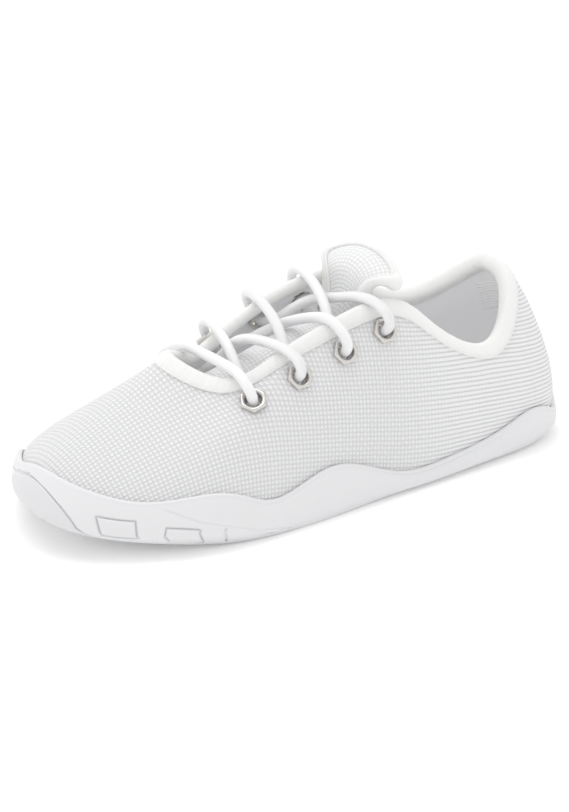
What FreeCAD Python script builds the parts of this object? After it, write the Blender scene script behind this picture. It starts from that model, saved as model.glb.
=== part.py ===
import FreeCAD, Part
import math
import os
from FreeCAD import Vector

# A left-foot running shoe, built the way the real one is: a woven one-piece upper with its lining and
# stiffeners, lasted onto a strobel board, set in a thin rubber cup sole, with a separate padded tongue,
# hexagonal eyelets and a round lace.  Millimetres, +X to the toe, +Y to the outer (lateral) side, +Z up.
# Every layer follows the same last.  A place on the last is (t, v): t goes once round the foot from the
# back of the heel along the lateral side to the toe and home on the medial side, v goes from the feather
# line, where the upper meets the sole, to the topline.

DOC = FreeCAD.newDocument("running_shoe")
SHEET = DOC.addObject("Spreadsheet::Sheet", "sizes")
SIZES = [
    ("fabric_thickness", 1.2), ("lining_thickness", 0.7), ("stiffener_thickness", 0.8),
    ("layer_gap", 0.1), ("collar_padding", 2.6), ("binding_width", 6.5), ("binding_thickness", 1.0),
    ("outsole_thickness", 2.4), ("midsole_thickness", 1.35), ("board_thickness", 0.8),
    ("sockliner_thickness", 3.0), ("lip_thickness", 2.4), ("groove_width", 3.0), ("groove_depth", 1.1),
    ("rubber_pad_thickness", 0.8), ("tongue_fabric", 1.0), ("tongue_padding", 3.6),
    ("tongue_backing", 0.7), ("tongue_binding_width", 6.0), ("tongue_binding_gap", 0.25),
    ("lace_diameter", 4.5), ("aglet_diameter", 4.9), ("aglet_length", 18.0),
    ("eyelet_flats", 10.3), ("eyelet_flange", 1.5), ("eyelet_bore", 7.1), ("eyelet_barrel", 7.9),
    ("eyelet_hole", 8.3), ("washer_diameter", 9.4), ("washer_thickness", 0.8), ("seat_gap", 0.25),
]
for row, (alias, value) in enumerate(SIZES, start=1):
    SHEET.set("A%d" % row, alias)
    SHEET.set("B%d" % row, str(value))
    SHEET.setAlias("B%d" % row, alias)
DOC.recompute()


def size(alias):
    return float(SHEET.get(alias))


GAP = size("layer_gap")
RING_POINTS = 64
LENGTH_SHIFT = 134.2
WIDTH_SHIFT = 0.7

# The last, as sixteen stations round the foot.  Plan outline of the sole wall at its widest:
OUTLINE = [
    (1, -1), (8, 22), (30, 37.5), (81, 44.5), (131, 49), (177.5, 53), (217.5, 49.5), (256, 27.5),
    (266, -3), (254, -34), (239.5, -49.5), (199.5, -51), (148, -42), (96, -34), (38.5, -34), (9, -23),
]
# flat part of the tread, which rests on the ground
FLAT = [
    (18, -1), (22, 13), (40, 25), (83, 34), (131, 39), (173, 42), (204, 35), (222, 19), (228, -4),
    (221, -27), (205, -38), (186, -41), (147, -33), (96, -26), (44, -24), (23, -14),
]
# how far in from the outline the ground edge is, and how high it lies (heel and toe spring)
EDGE_INSET = [8.5, 8, 3, 5, 2.5, 2.5, 8, 12, 12.5, 11, 6, 4.5, 4, 4, 4, 7]
EDGE_HEIGHT = [3, 2.5, 1, 0, 0, 0, 1.5, 6.5, 11, 6.5, 1.5, 0, 0, 0, 1, 2.5]
# the feather line
FEATHER_INSET = [5, 5, 5, 5, 5, 5, 5, 5.5, 6, 5.5, 5, 5, 5, 5, 5, 5]
FEATHER_HEIGHT = [9.5, 9, 7, 5.5, 5, 5, 7, 12.5, 17, 12.5, 7, 5, 5, 5.5, 7, 9]
# the topline: heel top, collar, facing, throat and back again
TOPLINE = [
    (28.5, -1.5, 78.5), (33, 15, 71.5), (53, 29, 52), (81.5, 27, 63.5), (102, 22, 78), (133.5, 20.5, 72.5),
    (160.5, 21.5, 64), (181.5, 15, 56.5), (194, -6, 63.5), (181.5, -15.5, 59), (164, -21, 60),
    (134, -22.5, 74), (103, -21, 80), (79.5, -28, 68.5), (52, -30, 60), (31, -15.5, 73.5),
]
# direction (degrees above outward) and strength of the rise at the feather line,
# and direction (degrees above inward) and strength on arrival at the topline
RISE_ANGLE = [93, 63, 56, 79, 91, 90, 81, 78, 66, 58, 66, 77, 81, 81, 81, 88]
RISE_PULL = [48, 58, 52, 33, 44, 45, 42, 45, 64, 75, 64, 53, 42, 31, 35, 43]
CLOSE_ANGLE = [29, 34, 49, 46, 48, 44, 39, 39, 37, 33, 38, 40, 44, 45, 54, 42]
CLOSE_PULL = [53, 46, 42, 36, 38, 45, 59, 80, 91, 84, 66, 51, 44, 42, 48, 55]
# height of the wavy upper lip of the sole, thirty-two stations
LIP_HEIGHT = [
    30, 23.5, 15.5, 13.5, 19.5, 13.5, 8.5, 8, 15.5, 19.5, 14, 18, 21.5, 20.5, 23, 27,
    29, 25.5, 23.5, 19.5, 16, 15, 16.5, 18.5, 19, 15, 12, 12.5, 17, 23, 28, 31,
]


def periodic(values):
    """Cubic spline through equally spaced values on a closed loop, as a function of t."""
    count = len(values)
    bend = [0.0] * count
    for _ in range(60):
        for i in range(count):
            ahead = values[(i + 1) % count]
            push = 6 * (ahead - 2 * values[i] + values[i - 1])
            bend[i] = (push - bend[i - 1] - bend[(i + 1) % count]) / 4

    def at(t):
        place = (t % 1.0) * count
        i = int(place) % count
        j = (i + 1) % count
        u = place - int(place)
        w = 1 - u
        return w * values[i] + u * values[j] + (w**3 - w) * bend[i] / 6 + (u**3 - u) * bend[j] / 6

    return at


def periodic_points(points):
    parts = [periodic([p[k] for p in points]) for k in range(len(points[0]))]
    return lambda t: [part(t) for part in parts]


def smooth(low, high, x):
    u = min(max((x - low) / (high - low), 0.0), 1.0)
    return u * u * (3 - 2 * u)


def mix(a, b, u):
    return a + (b - a) * u


outline = periodic_points(OUTLINE)
flat = periodic_points(FLAT)
edge_inset = periodic(EDGE_INSET)
edge_height = periodic(EDGE_HEIGHT)
feather_inset = periodic(FEATHER_INSET)
feather_height = periodic(FEATHER_HEIGHT)
topline = periodic_points(TOPLINE)
rise_angle = periodic(RISE_ANGLE)
rise_pull = periodic(RISE_PULL)
close_angle = periodic(CLOSE_ANGLE)
close_pull = periodic(CLOSE_PULL)
lip_height = periodic(LIP_HEIGHT)


def side(t):
    """Level unit vector pointing out of the shoe at t."""
    step = 0.001
    a = outline(t - step)
    b = outline(t + step)
    out = Vector(a[1] - b[1], b[0] - a[0], 0)
    return out.normalize()


def plan(t, inset, height):
    x, y = outline(t)
    return Vector(x, y, height) - side(t) * inset


def feather(t):
    return plan(t, feather_inset(t), feather_height(t))


def upper(t, v):
    """Outer face of the upper."""
    start = feather(t)
    end = Vector(*topline(t))
    out = side(t)
    rise = math.radians(rise_angle(t))
    close = math.radians(close_angle(t))
    up = Vector(0, 0, 1)
    leave = (out * math.cos(rise) + up * math.sin(rise)) * rise_pull(t)
    arrive = (up * math.sin(close) - out * math.cos(close)) * close_pull(t)
    a = 2 * v**3 - 3 * v**2 + 1
    b = v**3 - 2 * v**2 + v
    c = 3 * v**2 - 2 * v**3
    d = v**3 - v**2
    return start * a + leave * b + end * c + arrive * d


def upper_normal(t, v):
    step = 0.002
    along = upper(t + step, v) - upper(t - step, v)
    rise = upper(t, min(v + step, 1)) - upper(t, max(v - step, 0))
    return rise.cross(along).normalize()


def layer(t, v, out):
    """A point the given distance outside (+) or inside (-) the outer face of the upper."""
    return upper(t, v) + upper_normal(t, v) * out


def v_at_height(t, height):
    low = 0.0
    high = 0.6
    for _ in range(30):
        middle = (low + high) / 2
        if upper(t, middle).z < height:
            low = middle
        else:
            high = middle
    return low


def from_heel(t):
    """Share of the way round the foot from the back of the heel, the same on both sides."""
    t = t % 1.0
    return min(t, 1 - t)


def padding(t, v):
    collar = 1 - smooth(0.15, 0.235, from_heel(t))
    return size("collar_padding") * collar * smooth(0.5, 0.75, v)


def lining_depth(t, v):
    """Depth of the lining's outer face under the upper's outer face."""
    return size("fabric_thickness") + size("stiffener_thickness") + 2 * GAP + padding(t, v)


def inside_depth(t, v):
    return lining_depth(t, v) + size("lining_thickness")


# ---------------------------------------------------------------- surfaces and solids


def row_curve(points, closed):
    count = len(points)
    curve = Part.BSplineCurve()
    if closed:
        params = [i / count for i in range(count + 1)]
        curve.interpolate(Points=points, Parameters=params, PeriodicFlag=True)
    else:
        params = [i / (count - 1) for i in range(count)]
        curve.interpolate(Points=points, Parameters=params)
    return curve


def skin(rows, closed):
    """One smooth face through rows of points; two rows give a ruled face."""
    curves = [row_curve(row, closed) for row in rows]
    first = curves[0]
    columns = zip(*[curve.getPoles() for curve in curves])
    if len(rows) == 2:
        poles = [list(column) for column in columns]
        cross = ([2, 2], [0.0, 1.0], 1)
    else:
        cross_curves = [row_curve(list(column), False) for column in columns]
        poles = [curve.getPoles() for curve in cross_curves]
        one = cross_curves[0]
        cross = (one.getMultiplicities(), one.getKnots(), one.Degree)
    face = Part.BSplineSurface()
    face.buildFromPolesMultsKnots(
        poles, first.getMultiplicities(), cross[0], first.getKnots(), cross[1], closed, False,
        first.Degree, cross[2])
    return face.toShape()


def cap(row):
    return Part.Face(Part.Wire(row_curve(row, True).toShape()))


def solid_of(faces):
    shell = Part.makeShell(faces)
    shell.sewShape()
    solid = Part.Solid(shell)
    if solid.Volume < 0:
        solid.reverse()
    return solid


def ring(point_at):
    return [point_at(i / RING_POINTS) for i in range(RING_POINTS)]


def ring_solid(groups):
    """Closed ring: each group of rows is one smooth face, and the last row meets the first."""
    faces = [skin(group, True) for group in groups]
    return solid_of(faces)


def capped_solid(groups):
    """Ring faces closed by a level face at the first and at the last row."""
    faces = [skin(group, True) for group in groups]
    faces.append(cap(groups[0][0]))
    faces.append(cap(groups[-1][-1]))
    return solid_of(faces)


def shell_ring(near, far, levels):
    """Ring-shaped sheet between two depth functions of (t, v)."""
    outer = [ring(lambda t, v=v: layer(t, v, -near(t, v))) for v in levels]
    inner = [ring(lambda t, v=v: layer(t, v, -far(t, v))) for v in levels]
    return ring_solid([outer, [outer[-1], inner[-1]], inner[::-1], [inner[0], outer[0]]])


def patch_solid(near, far):
    """Sheet between two grids of points with the same rows and columns."""
    faces = [skin(near, False), skin(far, False)]
    faces.append(skin([near[0], far[0]], False))
    faces.append(skin([near[-1], far[-1]], False))
    for end in (0, -1):
        faces.append(skin([[row[end] for row in near], [row[end] for row in far]], False))
    return solid_of(faces)


def steps(start, stop, count):
    return [mix(start, stop, i / (count - 1)) for i in range(count)]


def patch(place, near, far, rows=7, columns=13):
    """Sheet over part of the last; place(p, q) gives (t, v) and near, far are depth functions."""
    grids = []
    for depth in (near, far):
        grid = []
        for q in steps(0, 1, rows):
            spots = [place(p, q) for p in steps(0, 1, columns)]
            grid.append([layer(t, v, -depth(t, v)) for t, v in spots])
        grids.append(grid)
    return patch_solid(grids[0], grids[1])


# ---------------------------------------------------------------- sole


def wall(t, w):
    """Outer face of the sole: w 0 at the ground edge, 1 at the widest line, 2 at the lip."""
    foot = edge_height(t) + 0.3
    wide = 0.6 * edge_height(t) + 0.4 * lip_height(t)
    if w <= 1:
        return plan(t, edge_inset(t) * (1 - w)**2, mix(foot, wide, w))
    u = w - 1
    start = plan(t, 0, wide)
    end = layer(t, v_at_height(t, lip_height(t) - 0.6), size("lip_thickness"))
    belly = 4 * u * (1 - u) * 0.7
    return start * (1 - u) + end * u + side(t) * belly


def wall_normal(t, w):
    step = 0.004
    along = wall(t + step, w) - wall(t - step, w)
    rise = wall(t, w + step) - wall(t, w - step)
    return rise.cross(along).normalize()


# how a dish climbs from its flat middle to its edge: above 0 late, below 0 early
UNDER_BOW = 0.8
FLOOR_BOW = -0.6
DISH_STEPS = (0, 0.35, 0.7, 1)
PARTING = 0.35


def dish(t, edge, level, s, bow):
    """From the flat middle (s 0, at the given level) out and up to an edge point (s 1)."""
    x, y = flat(t)
    climb = s * (1 - bow + bow * s)
    return Vector(mix(x, edge.x, s), mix(y, edge.y, s), mix(level, edge.z, climb))


def floor_rows(edge_at, level):
    return [ring(lambda t, s=s: dish(t, edge_at(t), level, s, FLOOR_BOW)) for s in DISH_STEPS]


def under_point(t, s):
    return dish(t, wall(t, 0), 0, s, UNDER_BOW)


def parting_point(t, s):
    """Upper face of the outsole, over the tread."""
    rim = wall(t, PARTING).z - wall(t, 0).z
    return under_point(t, s) + Vector(0, 0, mix(size("outsole_thickness"), rim, s))


def parting_groups(lift):
    """Rows of the face between outsole and midsole: over the tread, then level out to the wall."""
    up = Vector(0, 0, lift)
    rows = [ring(lambda t, s=s: parting_point(t, s) + up) for s in DISH_STEPS]
    return rows, [rows[-1], ring(lambda t: wall(t, PARTING) + up)]


def outsole_shape():
    under = [ring(lambda t, s=s: under_point(t, s)) for s in DISH_STEPS]
    lip = [ring(lambda t, w=w: wall(t, w)) for w in (0, 0.12, 0.24, PARTING)]
    top, ledge = parting_groups(0)
    body = capped_solid([under, lip, ledge[::-1], top[::-1]])
    return body.cut(tread_grooves())


# middle of each groove across the tread, and how far it reaches to either side
GROOVES = [
    (34, 14, -13), (50, 20, -17), (66, 23, -18), (82, 26, -19), (122, 30, -24), (138, 32, -26),
    (154, 34, -29), (170, 34, -31), (186, 31, -31), (202, 24, -26),
]


def tread_grooves():
    width = size("groove_width")
    depth = size("groove_depth")
    bars = []
    for x, lateral, medial in GROOVES:
        corner = Vector(x - width / 2, medial, -1)
        bars.append(Part.makeBox(width, lateral - medial, depth + 1, corner))
    return Part.makeCompound(bars)


def seat(t):
    """Where the midsole's floor meets its inner wall."""
    low = feather(t) + side(t) * GAP
    low.z = feather_height(t) - size("board_thickness") - 0.45
    return low


def midsole_shape():
    level = size("outsole_thickness") + GAP
    under, ledge = parting_groups(GAP)
    outer = [ledge[-1]] + [ring(lambda t, w=w: wall(t, w)) for w in (0.6, 0.8, 1, 1.25, 1.5, 1.75, 2)]
    lip = [(0.3, 2.1), (0.8, 1.3), (0.7, 0.5), (0.2, GAP)]
    bead = [outer[-1]] + [ring(lambda t, h=h, o=o: lip_point(t, h, o)) for h, o in lip]
    inner = [bead[-1]] + [ring(lambda t, k=k: lip_inside(t, k)) for k in (0.75, 0.5, 0.25, 0)]
    floor = floor_rows(seat, level + size("midsole_thickness"))
    return capped_solid([under, ledge, outer, bead, inner, [inner[-1], floor[-1]], floor[::-1]])


def lip_point(t, above, out):
    return layer(t, v_at_height(t, lip_height(t) + above), out)


def lip_inside(t, share):
    top = v_at_height(t, lip_height(t) + 0.2)
    return layer(t, top * share, GAP)


def board_shape():
    thick = size("board_thickness")
    level = size("outsole_thickness") + size("midsole_thickness") + 2 * GAP
    top_edge = Vector(0, 0, 0.35)

    def low(t):
        return feather(t) - top_edge - Vector(0, 0, thick)

    def high(t):
        return feather(t) - top_edge

    under = floor_rows(low, level)
    top = floor_rows(high, level + thick)
    return capped_solid([under, [under[-1], top[-1]], top[::-1]])


def sockliner_shape():
    level = size("outsole_thickness") + size("midsole_thickness") + size("board_thickness") + 9 * GAP
    thick = size("sockliner_thickness")

    def edge(t, above):
        v = v_at_height(t, feather_height(t) + above)
        spot = upper(t, v) - side(t) * (inside_depth(t, v) + 0.9)
        spot.z = feather_height(t) + above
        return spot

    under = floor_rows(lambda t: edge(t, 0.4), level)
    top = floor_rows(lambda t: edge(t, thick), level + thick)
    return capped_solid([under, [under[-1], top[-1]], top[::-1]])


def wall_patch(place, rows=5, columns=9):
    """Rubber pad lying on the sole wall; place(p, q) gives (t, w)."""
    grids = []
    for out in (0.35, 0.35 + size("rubber_pad_thickness")):
        grid = []
        for q in steps(0, 1, rows):
            spots = [place(p, q) for p in steps(0, 1, columns)]
            grid.append([wall(t, w) + wall_normal(t, w) * out for t, w in spots])
        grids.append(grid)
    return patch_solid(grids[0], grids[1])


def toe_guard_shape():
    def place(p, q):
        along = (1 - math.cos(math.pi * p)) / 2
        crest = math.sin(math.pi * along)**0.45
        return mix(0.428, 0.572, along), mix(0.12, 0.2 + 1.56 * crest, q)

    return wall_patch(place, rows=13, columns=41)


# corners (t, w) of the two side pads: upper front, upper back, lower back, lower front
PODS = [
    [(0.433, 1.51), (0.411, 1.52), (0.405, 0.93), (0.424, 0.96)],
    [(0.392, 1.26), (0.372, 1.12), (0.368, 0.38), (0.388, 0.62)],
]


def pod_shape(corners):
    upper_front, upper_back, lower_back, lower_front = corners

    def place(p, q):
        low = [mix(a, b, p) for a, b in zip(lower_front, lower_back)]
        high = [mix(a, b, p) for a, b in zip(upper_front, upper_back)]
        return [mix(a, b, q) for a, b in zip(low, high)]

    return wall_patch(place)


# ---------------------------------------------------------------- upper


LEVELS = [0, 0.08, 0.17, 0.26, 0.35, 0.44, 0.53, 0.62, 0.71, 0.8, 0.9, 1]


def fabric_shape():
    body = shell_ring(lambda t, v: 0, lambda t, v: size("fabric_thickness"), LEVELS)
    return body.cut(eyelet_holes())


def lining_shape():
    body = shell_ring(lining_depth, inside_depth, LEVELS)
    return body.cut(eyelet_holes())


def stiffener_near(t, v):
    return size("fabric_thickness") + GAP


def stiffener_far(t, v):
    return stiffener_near(t, v) + size("stiffener_thickness")


def toe_puff_shape():
    return patch(lambda p, q: (mix(0.39, 0.61, p), mix(0.02, 0.3 + 0.08 * math.sin(math.pi * p), q)),
                 stiffener_near, stiffener_far, columns=17)


def heel_counter_shape():
    def place(p, q):
        crest = math.sin(math.pi * p)
        return mix(-0.14, 0.14, p), mix(0.02, 0.28 + 0.2 * crest, q)

    return patch(place, stiffener_near, stiffener_far, columns=17)


def collar_foam_shape():
    def far(t, v):
        return lining_depth(t, v) - GAP

    return patch(lambda p, q: (mix(-0.235, 0.235, p), mix(0.52, 0.97, q)), stiffener_near, far,
                 rows=9, columns=33)


def eyestay_shape(sign):
    start = 0.248
    stop = 0.425
    body = patch(lambda p, q: (sign * mix(start, stop, p), mix(0.6, 0.97, q)), stiffener_near,
                 stiffener_far, columns=19)
    return body.cut(eyelet_holes())


def heel_patch_shape():
    def near(t, v):
        return inside_depth(t, v) + GAP

    def far(t, v):
        return near(t, v) + 0.6

    return patch(lambda p, q: (mix(-0.055, 0.055, p), mix(0.56, 0.8, q)), near, far)


def binding_point(t, down, out):
    """Point of the topline binding: distance down from the edge of the upper, and out from its face."""
    if down >= 0:
        rate = (upper(t, 1) - upper(t, 0.9)).Length / 0.1
        return layer(t, 1 - down / rate, out)
    normal = upper_normal(t, 1)
    up = upper(t, 1) - upper(t, 0.99)
    return upper(t, 1) - up.normalize() * down + normal * out


def binding_shape():
    width = size("binding_width")
    thick = size("binding_thickness")

    def inner(t):
        return -inside_depth(t, 1) - GAP

    def row(down, out_at):
        return ring(lambda t: binding_point(t, down, out_at(t)))

    skin_out = GAP + thick
    outside = [row(down, lambda t, k=k: skin_out * k) for down, k in
               ((width, 0.85), (width * 0.66, 1), (width * 0.33, 1.08), (0.3, 1))]
    crown = [outside[-1]]
    for share, lift in ((0.12, 0.75), (0.3, 1.3), (0.5, 1.5), (0.7, 1.3), (0.88, 0.75)):
        crown.append(row(-lift, lambda t, s=share: mix(skin_out, inner(t) - thick, s)))
    crown.append(row(0.3, lambda t: inner(t) - thick))
    lining_side = [crown[-1]] + [row(width * k, lambda t: inner(t) - thick) for k in (0.3, 0.6, 0.85)]
    inner_leg = [row(width * k, inner) for k in (0.85, 0.6, 0.3)] + [row(0, inner)]
    bridge_in = row(-0.25, inner)
    bridge_out = row(-0.25, lambda t: GAP)
    outer_leg = [row(0, lambda t: GAP)] + [row(width * k, lambda t: GAP) for k in (0.33, 0.66, 1)]
    return ring_solid([
        outside, crown, lining_side, [lining_side[-1], inner_leg[0]], inner_leg,
        [inner_leg[-1], bridge_in], [bridge_in, bridge_out], [bridge_out, outer_leg[0]], outer_leg,
        [outer_leg[-1], outside[0]]])


# ---------------------------------------------------------------- eyelets

# place of each eyelet pair on the last, front pair first
LATERAL_EYELETS = [(0.3904, 0.78), (0.3407, 0.76), (0.2947, 0.756), (0.2582, 0.787)]
MEDIAL_EYELETS = [(0.612, 0.78), (0.661, 0.76), (0.6995, 0.76), (0.7345, 0.785)]


def eyelet_frame(t, v, depth):
    normal = upper_normal(t, v)
    centre = upper(t, v) - normal * depth
    return FreeCAD.Placement(centre, FreeCAD.Rotation(Vector(0, 0, 1), normal))


def all_eyelets():
    rows = []
    for name, places in (("lateral", LATERAL_EYELETS), ("medial", MEDIAL_EYELETS)):
        for number, (t, v) in enumerate(places, start=1):
            rows.append((name, number, t, v))
    return rows


def eyelet_holes():
    holes = []
    for _, _, t, v in all_eyelets():
        hole = Part.makeCylinder(size("eyelet_hole") / 2, 24, Vector(0, 0, -12))
        hole.Placement = eyelet_frame(t, v, 0)
        holes.append(hole)
    return Part.makeCompound(holes)


# ---------------------------------------------------------------- tongue

# middle line of the tongue's outer face from its sewn front end to its rounded top
TONGUE_LINE = [(208, 48.5), (197, 50), (184, 52.5), (168, 56.2), (150, 61.7), (133, 66), (118, 69),
               (111.3, 76.5), (109.3, 86.5), (105, 92.3), (99, 94.5), (92.5, 91.5)]
TONGUE_WIDTH = [10, 12, 13.5, 15, 15, 15, 14.5, 14.5, 16, 23, 25.5, 24]
TONGUE_CROWN = [8, 8.5, 9.5, 9, 8.7, 8.5, 8, 5.5, 3.2, 5.6, 8.5, 9.3]
TONGUE_TILT = [0, 0, 0, 0, 0, 0, 0, 0, 0, 0, 1, 3.2]


def open_spline(values):
    points = [Vector(i, value, 0) for i, value in enumerate(values)]
    curve = row_curve(points, False)
    return lambda u: curve.value(u).y


tongue_x = open_spline([p[0] for p in TONGUE_LINE])
tongue_z = open_spline([p[1] for p in TONGUE_LINE])
tongue_width = open_spline(TONGUE_WIDTH)
tongue_crown = open_spline(TONGUE_CROWN)
tongue_tilt = open_spline(TONGUE_TILT)
TONGUE_CORNER = 0.12


def tongue_reach(s, trim):
    """How far up the tongue runs at a share s of its half width, rounded at the top corners."""
    bulge = 1 - math.sqrt(max(1 - min(abs(s), 0.995)**2.6, 0))
    return 1 - trim - TONGUE_CORNER * bulge


def tongue_base(u, s):
    drop = tongue_crown(u) * s * s + tongue_tilt(u) * s
    return Vector(tongue_x(u), s * tongue_width(u), tongue_z(u) - drop)


def tongue_point(u, s, depth):
    step = 0.004
    along = tongue_base(min(u + step, 1), s) - tongue_base(max(u - step, 0), s)
    across = tongue_base(u, s + step) - tongue_base(u, s - step)
    normal = across.cross(along).normalize()
    if normal.z < 0:
        normal = normal * -1
    return tongue_base(u, s) - normal * depth


def tongue_layer(near, far, trim, narrow):
    """Sheet between two depths, each given as a function of the share s of the half width."""
    grids = []
    for depth in (near, far):
        grid = []
        for q in steps(0, 1, 23):
            row = []
            for s in steps(-1, 1, 17):
                u = q * tongue_reach(s, trim)
                row.append(tongue_point(u, s * narrow, depth(s)))
            grid.append(row)
        grids.append(grid)
    return patch_solid(grids[0], grids[1])


def foam_top(s):
    return size("tongue_fabric") + GAP


def foam_base(s):
    """The padding thins out towards both edges."""
    return foam_top(s) + size("tongue_padding") * (1 - 0.7 * abs(s)**3)


def backing_top(s):
    return foam_base(s) + GAP


def backing_base(s):
    return backing_top(s) + size("tongue_backing")


def tongue_outer_shape():
    return tongue_layer(lambda s: 0, lambda s: size("tongue_fabric"), 0.02, 0.955)


def tongue_foam_shape():
    return tongue_layer(foam_top, foam_base, 0.03, 0.94)


def tongue_lining_shape():
    return tongue_layer(backing_top, backing_base, 0.02, 0.955)


def tongue_edge(p, inward, share, offset):
    """Point near the tongue's edge; p runs from the lateral side round the top to the medial side.

    Its depth is a share of the tongue's thickness there plus an offset.
    """
    start = 0.6
    if p < 0.25:
        s = 1.0
        u = mix(start, tongue_reach(1, 0), p / 0.25)
    elif p > 0.75:
        s = -1.0
        u = mix(tongue_reach(1, 0), start, (p - 0.75) / 0.25)
    else:
        s = math.cos(math.pi * (p - 0.25) / 0.5)
        u = tongue_reach(s, 0)
    centre = (0.6, 0)
    pull_u = (centre[0] - u)
    pull_s = (centre[1] - s)
    here = tongue_base(u, s)
    there = tongue_base(u + pull_u * 0.02, s + pull_s * 0.02)
    rate = (there - here).Length / 0.02
    k = inward / rate
    s = s + pull_s * k
    return tongue_point(min(u + pull_u * k, 1), s, share * backing_base(s) + offset)


def tongue_binding_shape():
    width = size("tongue_binding_width")
    near = size("tongue_binding_gap")
    far = near + size("binding_thickness")
    inside = [(width, 0, -near), (width / 2, 0, -near), (0.5, 0, -near), (-0.3, 0.3, 0),
              (-0.3, 0.7, 0), (0.5, 1, near), (width / 2, 1, near), (width, 1, near)]
    outside = [(width, 0, -far), (width / 2, 0, -far), (0.1, 0, -far), (-1.3, 0.22, 0),
               (-1.3, 0.78, 0), (0.1, 1, far), (width / 2, 1, far), (width, 1, far)]
    stations = steps(0, 1, 45)
    grids = []
    for section in (inside, outside):
        grids.append([[tongue_edge(p, *place) for p in stations] for place in section])
    return patch_solid(grids[0], grids[1])


# ---------------------------------------------------------------- lace

# the way the lace runs: up from its end tucked inside the medial quarter, through the eyelets in turn,
# straight across the front pair, and down to its other end inside the lateral quarter
LACE_ROUTE = [
    (-90, -19.5, 11.2), (-77, -23.5, 11.2), (-63, -26, 18), (-50, -27.5, 30), (-36, -24, 44),
    (-18.5, -20.1, 65.8), (-19.4, -33.6, 70.7), (-18, -32, 80), (-16.5, -21.5, 84),
    (-12, -0.5, 79), (-7.5, 13.5, 68), (-4.9, 20.4, 58.2), (-3.9, 32, 64.8), (-1.5, 30.5, 72.5),
    (-0.5, 20, 77), (3.5, -0.5, 70), (6.5, -15.5, 61.5), (21.7, -28.9, 49.5), (25.5, -36.3, 59.8),
    (27.5, -30.5, 66), (29.5, -20.5, 67.5), (34.5, -1, 64.5), (36.5, 13.5, 52), (39.2, 25.4, 44.9),
    (43.3, 31.2, 53.8), (45, 27, 60), (43.5, 17.5, 61.5), (47.5, -0.5, 64), (47.5, -16.5, 63.5),
    (49, -27, 58), (48.5, -32.6, 52.1), (45.5, -27.6, 41.5), (30.5, -15.5, 52), (28, -4.5, 66.5),
    (24.5, 20, 69.5), (22, 32, 66.5), (20.1, 33.1, 59.3), (19.5, 22.5, 52.1), (15.5, 14, 61),
    (11, -0.5, 71.5), (6.5, -23, 75.5), (4.5, -34.5, 74), (1.8, -36, 66), (1.8, -24, 59.8),
    (-14.5, -15, 72), (-17.5, -0.5, 76), (-20.5, 20.5, 82), (-23, 32, 77.5), (-25, 32.2, 70),
    (-25.7, 18.6, 63.7), (-40, 25.5, 45), (-52, 27.5, 31), (-65, 26, 18.5), (-79, 22.5, 11.2),
    (-92, 18, 11.2),
]


def lace_wire():
    """Straight runs joined by arcs that touch them."""
    points = [Vector(*p) for p in LACE_ROUTE]
    edges = []
    radii = []
    start = points[0]
    for before, corner, after in zip(points, points[1:], points[2:]):
        back = (before - corner)
        ahead = (after - corner)
        reach = 0.45 * min(back.Length, ahead.Length)
        half = (math.pi - back.getAngle(ahead)) / 2
        radii.append(reach / math.tan(half))
        back.normalize()
        ahead.normalize()
        inward = (back + ahead).normalize()
        enter = corner + back * reach
        leave = corner + ahead * reach
        middle = corner + inward * (radii[-1] / math.cos(half) - radii[-1])
        edges.append(Part.LineSegment(start, enter).toShape())
        edges.append(Part.Arc(enter, middle, leave).toShape())
        start = leave
    edges.append(Part.LineSegment(start, points[-1]).toShape())
    print("lace bend radii:", " ".join("%.1f" % r for r in radii))
    return Part.Wire(edges)


def lace_shape():
    radius = size("lace_diameter") / 2
    wire = lace_wire()
    first = Vector(*LACE_ROUTE[0])
    second = Vector(*LACE_ROUTE[1])
    round_end = Part.Wire(Part.makeCircle(radius, first, second - first))
    tube = wire.makePipeShell([round_end], True, False)
    print("lace length %.1f mm, volume over section times length %.4f"
          % (wire.Length, tube.Volume / (math.pi * radius**2 * wire.Length)))
    return tube


def add_aglet(number, end, before):
    node = bound("Part::Cylinder", "aglet_%d" % number, Radius="sizes.aglet_diameter / 2",
                 Height="sizes.aglet_length")
    node.Label = "aglet_%d" % number
    tip = Vector(*end)
    along = (tip - Vector(*before)).normalize()
    node.Placement = FreeCAD.Placement(tip + along * 0.05, FreeCAD.Rotation(Vector(0, 0, 1), along))
    NODES.append(node)


# ---------------------------------------------------------------- the document


def home(shape):
    """Move a finished shape so that the origin is under the middle of the shoe."""
    shape.translate(Vector(-LENGTH_SHIFT, -WIDTH_SHIFT, 0))
    return shape


def add_feature(name, shape):
    node = DOC.addObject("Part::Feature", name)
    node.Label = name
    node.Shape = home(shape)
    NODES.append(node)


def add_lace():
    node = DOC.addObject("Part::Feature", "shoelace")
    node.Label = "shoelace"
    node.Shape = lace_shape()
    NODES.append(node)
    add_aglet(1, LACE_ROUTE[0], LACE_ROUTE[1])
    add_aglet(2, LACE_ROUTE[-1], LACE_ROUTE[-2])


def bound(kind, name, **bindings):
    node = DOC.addObject(kind, name)
    for key, expression in bindings.items():
        node.setExpression(key, expression)
    return node


def shifted(place):
    return FreeCAD.Placement(place.Base - Vector(LENGTH_SHIFT, WIDTH_SHIFT, 0), place.Rotation)


def local(height):
    return FreeCAD.Placement(Vector(0, 0, height), FreeCAD.Rotation())


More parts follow.
